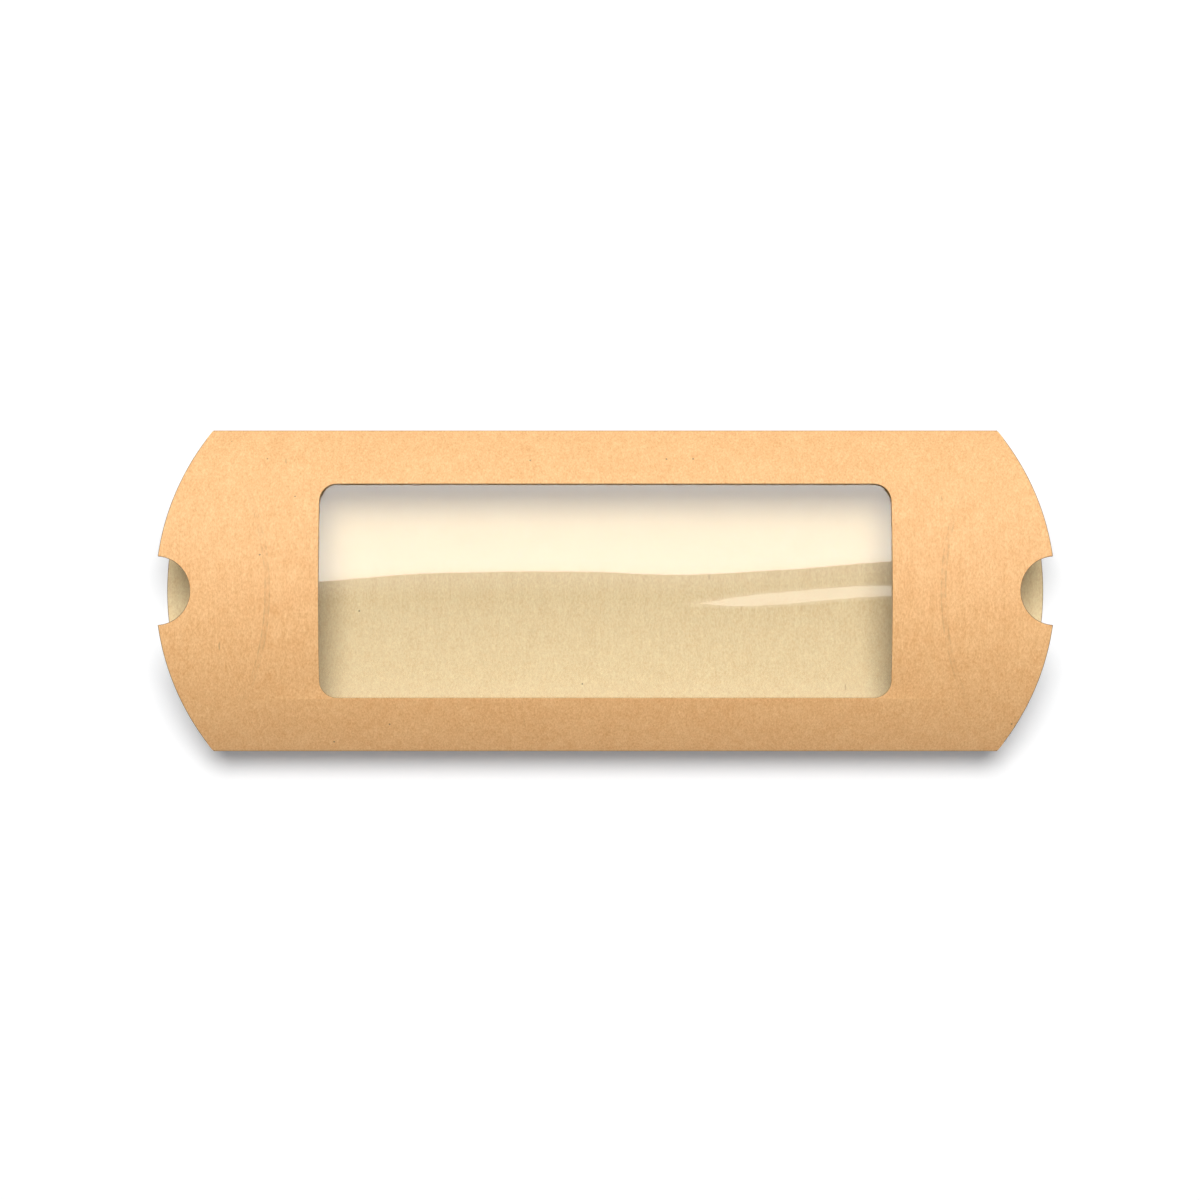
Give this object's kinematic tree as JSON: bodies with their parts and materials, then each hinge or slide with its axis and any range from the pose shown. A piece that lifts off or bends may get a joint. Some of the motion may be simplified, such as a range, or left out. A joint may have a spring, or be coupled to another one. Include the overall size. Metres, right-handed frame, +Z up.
{
  "type": "pillow box",
  "caption": "Curved kraft board pillow box with a clear film window, a glued side seam and two folding end flaps at each end, the upper ones with thumb notches.",
  "frame": {"origin": "centre of the bounding box's base: under the middle of the box, on the surface that the crown of its back panel lies on", "axes": "+X along the box, from the left flaps to the right flaps; +Y across it, away from the glued seam; +Z up, through the window"},
  "size_m": [0.2492, 0.09, 0.0328],
  "materials": {
    "kraft_board": "uncoated natural kraft, matt, with fine fibres",
    "clear_film": "clear gloss film",
    "glue": "dried white dispersion glue"
  },
  "bodies": {
    "carton": {"front_panel": "kraft_board", "back_panel": "kraft_board", "seam_tab": "kraft_board", "window_film": "clear_film", "window_glue": "glue", "seam_glue": "glue"},
    "front_left": {"front_left_flap": "kraft_board"},
    "front_right": {"front_right_flap": "kraft_board"},
    "back_left": {"back_left_flap": "kraft_board"},
    "back_right": {"back_right_flap": "kraft_board"}
  },
  "joints": [
    {"name": "front_left_crease", "type": "hinge", "parent": "carton", "child": "front_left", "pos_m": [-0.09383, 0, 0.03257], "axis": [0, -1, 0], "range_deg": [0, 90], "deforming": ["front_left_flap"]},
    {"name": "front_right_crease", "type": "hinge", "parent": "carton", "child": "front_right", "pos_m": [0.09383, 0, 0.03257], "axis": [0, 1, 0], "range_deg": [0, 90], "deforming": ["front_right_flap"]},
    {"name": "back_left_crease", "type": "hinge", "parent": "carton", "child": "back_left", "pos_m": [-0.09323, 0, 0.00022], "axis": [0, 1, 0], "range_deg": [0, 90], "deforming": ["back_left_flap"]},
    {"name": "back_right_crease", "type": "hinge", "parent": "carton", "child": "back_right", "pos_m": [0.09323, 0, 0.00022], "axis": [0, -1, 0], "range_deg": [0, 90], "deforming": ["back_right_flap"]}
  ]
}
